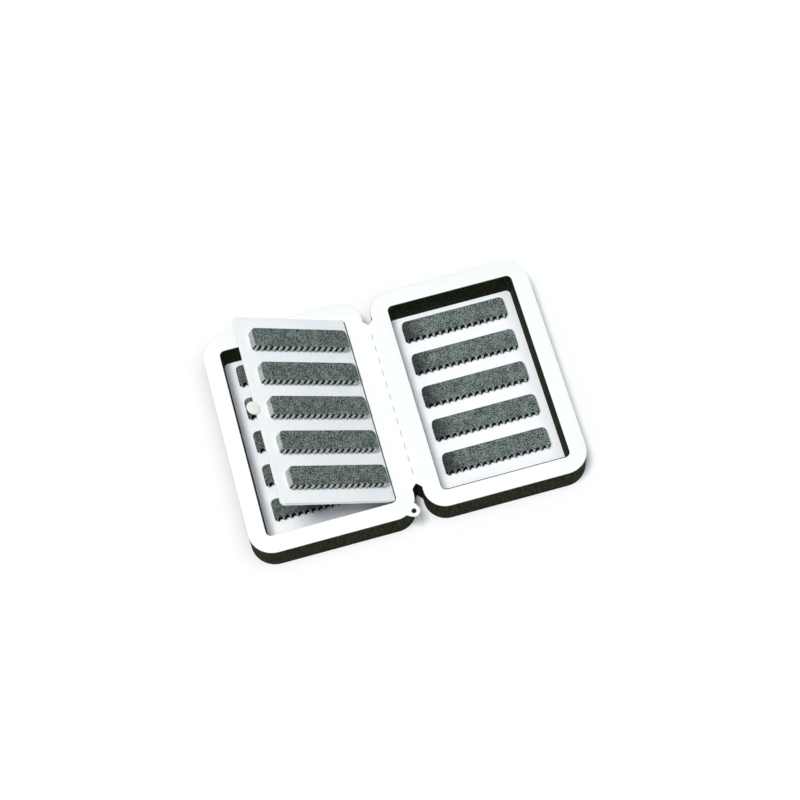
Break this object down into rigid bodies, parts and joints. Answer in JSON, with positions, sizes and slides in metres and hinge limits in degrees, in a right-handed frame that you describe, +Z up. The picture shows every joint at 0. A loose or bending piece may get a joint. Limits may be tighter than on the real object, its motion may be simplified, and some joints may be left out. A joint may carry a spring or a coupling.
{
  "type": "fly box",
  "caption": "Fishing fly box lying open: two foam trays joined by a folding white face sheet, with slit foam strips to hold hooks and a half raised swing leaf.",
  "frame": {"origin": "on the table, under the middle of the fold line", "axes": "fold line along Y, the half with the swing leaf at -X and the plain half at +X, the end with the lanyard ear at -Y, +Z up from the table"},
  "size_m": [0.208, 0.1491, 0.0662],
  "materials": {
    "tray_foam": "dark closed-cell foam, matte",
    "strip_foam": "grey closed-cell foam, cut faces",
    "face_sheet": "white sheet, fine matte",
    "floor_sheet": "white sheet, satin",
    "leaf_board": "white board, satin",
    "hinge_film": "white film, smooth",
    "tab": "cream film, smooth",
    "magnet": "nickel plated"
  },
  "bodies": {
    "left_half": {"left_base": "tray_foam", "left_foam_frame": "tray_foam", "left_floor_liner": "floor_sheet", "left_face_sheet": "face_sheet", "left_magnets": "magnet", "lanyard_ear": "face_sheet", "left_foam_strip_1": "strip_foam", "left_foam_strip_2": "strip_foam", "left_foam_strip_3": "strip_foam", "left_foam_strip_4": "strip_foam", "left_foam_strip_5": "strip_foam", "leaf_hinge_face_flange": "hinge_film"},
    "right_half": {"right_base": "tray_foam", "right_foam_frame": "tray_foam", "right_floor_liner": "floor_sheet", "right_face_sheet": "face_sheet", "right_magnets": "magnet", "right_foam_strip_1": "strip_foam", "right_foam_strip_2": "strip_foam", "right_foam_strip_3": "strip_foam", "right_foam_strip_4": "strip_foam", "right_foam_strip_5": "strip_foam"},
    "leaf": {"leaf_plate": "leaf_board", "leaf_thumb_tab": "tab", "leaf_hinge_leaf_flange": "hinge_film", "leaf_foam_strip_1": "strip_foam", "leaf_foam_strip_2": "strip_foam", "leaf_foam_strip_3": "strip_foam", "leaf_foam_strip_4": "strip_foam", "leaf_foam_strip_5": "strip_foam"}
  },
  "joints": [
    {"name": "cover_fold", "type": "hinge", "parent": "left_half", "child": "right_half", "pos_m": [0, 0, 0.02055], "axis": [0, -1, 0], "range_deg": [0, 180]},
    {"name": "leaf_swing", "type": "hinge", "parent": "left_half", "child": "leaf", "pos_m": [-0.0142, 0, 0.02015], "axis": [0, 1, 0], "range_deg": [-32.5, 87.5]}
  ],
  "couplings": [
    {"joint": "leaf_swing", "follows": "cover_fold", "ratio": -0.18056}
  ]
}
